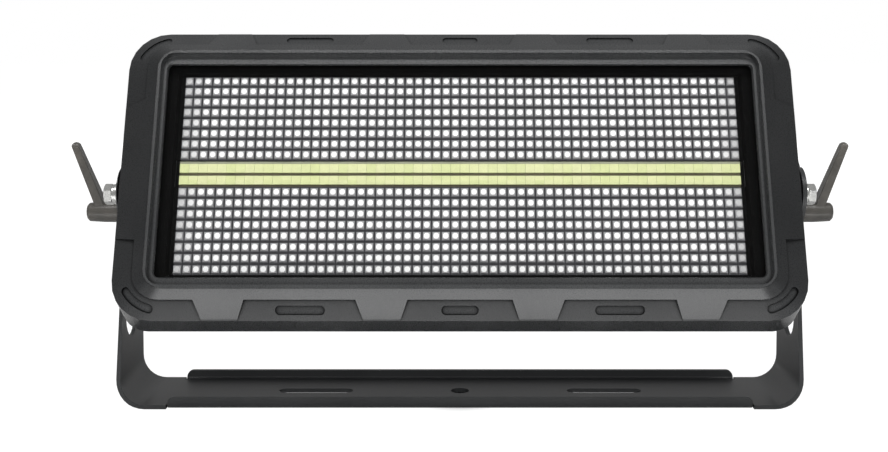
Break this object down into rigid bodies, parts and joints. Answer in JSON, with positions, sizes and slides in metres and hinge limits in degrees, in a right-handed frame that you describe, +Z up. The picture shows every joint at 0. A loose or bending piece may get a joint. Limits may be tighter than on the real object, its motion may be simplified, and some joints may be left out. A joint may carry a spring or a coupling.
{
  "type": "led strobe light",
  "caption": "Wide floor-standing strobe lamp: a tilting cast head with a glazed field of emitters, held in a U-shaped yoke with lever locks.",
  "frame": {"origin": "on the floor under the tilt axis, midway between the yoke's arms", "axes": "+X to the right seen from the front, +Y to the back, +Z up; the lamp faces -Y"},
  "size_m": [0.5588, 0.1781, 0.2554],
  "materials": {
    "yoke_paint": "satin powder coat",
    "casting_paint": "fine textured powder coat",
    "gasket_rubber": "matt",
    "lamp_glass": "clear polished",
    "mask_black": "matt black",
    "led_board": "dark grey solder mask with white emitters",
    "white_led_board": "pale yellow-green emitter strips",
    "heat_sink_metal": "mill finish",
    "supply_case": "folded sheet",
    "control_circuit": "green circuit board",
    "black_plastic": "moulded black",
    "display_clear": "smoked window",
    "button_rubber": "matt",
    "lever_plastic": "moulded black, worn on the arm",
    "zinc_steel": "zinc plated"
  },
  "bodies": {
    "yoke": {"yoke_frame": "yoke_paint"},
    "head": {"front_bezel": "casting_paint", "glass_gasket": "gasket_rubber", "front_glass": "lamp_glass", "lamp_mask": "mask_black", "led_board_upper": "led_board", "led_board_lower": "led_board", "led_board_white": "white_led_board", "heat_sink": "heat_sink_metal", "bezel_seal": "gasket_rubber", "rear_housing": "casting_paint", "rear_cover": "casting_paint", "cover_seal": "gasket_rubber", "power_supply": "supply_case", "vent_plug": "black_plastic", "safety_eye": "zinc_steel", "display_pane": "display_clear", "display_module": "black_plastic", "control_board": "control_circuit", "power_inlet": "black_plastic", "power_outlet": "black_plastic", "data_inlet": "black_plastic", "data_outlet": "black_plastic", "friction_washer_right": "gasket_rubber", "friction_washer_left": "gasket_rubber", "pivot_washer_right": "zinc_steel", "pivot_washer_left": "zinc_steel", "spring_washer_right": "zinc_steel", "spring_washer_left": "zinc_steel", "pivot_bolt_right": "zinc_steel", "pivot_bolt_left": "zinc_steel", "flange_screw_1": "zinc_steel", "flange_screw_2": "zinc_steel", "flange_screw_3": "zinc_steel", "flange_screw_4": "zinc_steel", "flange_screw_5": "zinc_steel", "flange_screw_6": "zinc_steel", "flange_screw_7": "zinc_steel", "flange_screw_8": "zinc_steel", "cover_screw_1": "zinc_steel", "cover_screw_2": "zinc_steel", "cover_screw_3": "zinc_steel", "cover_screw_4": "zinc_steel"},
    "lock_screw_right": {"lock_stud_right": "zinc_steel", "lock_washer_right": "zinc_steel"},
    "lock_handle_right": {"lock_lever_right": "lever_plastic"},
    "lock_screw_left": {"lock_stud_left": "zinc_steel", "lock_washer_left": "zinc_steel"},
    "lock_handle_left": {"lock_lever_left": "lever_plastic"},
    "menu_button_1": {"menu_button_1": "button_rubber"},
    "menu_button_2": {"menu_button_2": "button_rubber"},
    "menu_button_3": {"menu_button_3": "button_rubber"},
    "menu_button_4": {"menu_button_4": "button_rubber"}
  },
  "joints": [
    {"name": "head_tilt", "type": "hinge", "parent": "yoke", "child": "head", "pos_m": [0, 0, 0.145], "axis": [1, 0, 0], "range_deg": [-48, 60]},
    {"name": "lock_turn_right", "type": "hinge", "parent": "head", "child": "lock_screw_right", "pos_m": [0, 0.03519, 0.12707], "axis": [1, 0, 0], "range_deg": [-120, 120]},
    {"name": "lever_lift_right", "type": "slide", "parent": "lock_screw_right", "child": "lock_handle_right", "axis": [1, 0, 0], "range_m": [0, 0.004], "stiffness_N_per_m": 900, "springref_m": -0.001},
    {"name": "lock_turn_left", "type": "hinge", "parent": "head", "child": "lock_screw_left", "pos_m": [0, 0.03519, 0.12707], "axis": [1, 0, 0], "range_deg": [-120, 120]},
    {"name": "lever_lift_left", "type": "slide", "parent": "lock_screw_left", "child": "lock_handle_left", "axis": [-1, 0, 0], "range_m": [0, 0.004], "stiffness_N_per_m": 900, "springref_m": -0.001},
    {"name": "menu_button_1_press", "type": "slide", "parent": "head", "child": "menu_button_1", "axis": [0, -0.891, 0.454], "range_m": [0, 0.001], "stiffness_N_per_m": 1500, "springref_m": -0.0003},
    {"name": "menu_button_2_press", "type": "slide", "parent": "head", "child": "menu_button_2", "axis": [0, -0.891, 0.454], "range_m": [0, 0.001], "stiffness_N_per_m": 1500, "springref_m": -0.0003},
    {"name": "menu_button_3_press", "type": "slide", "parent": "head", "child": "menu_button_3", "axis": [0, -0.891, 0.454], "range_m": [0, 0.001], "stiffness_N_per_m": 1500, "springref_m": -0.0003},
    {"name": "menu_button_4_press", "type": "slide", "parent": "head", "child": "menu_button_4", "axis": [0, -0.891, 0.454], "range_m": [0, 0.001], "stiffness_N_per_m": 1500, "springref_m": -0.0003}
  ]
}
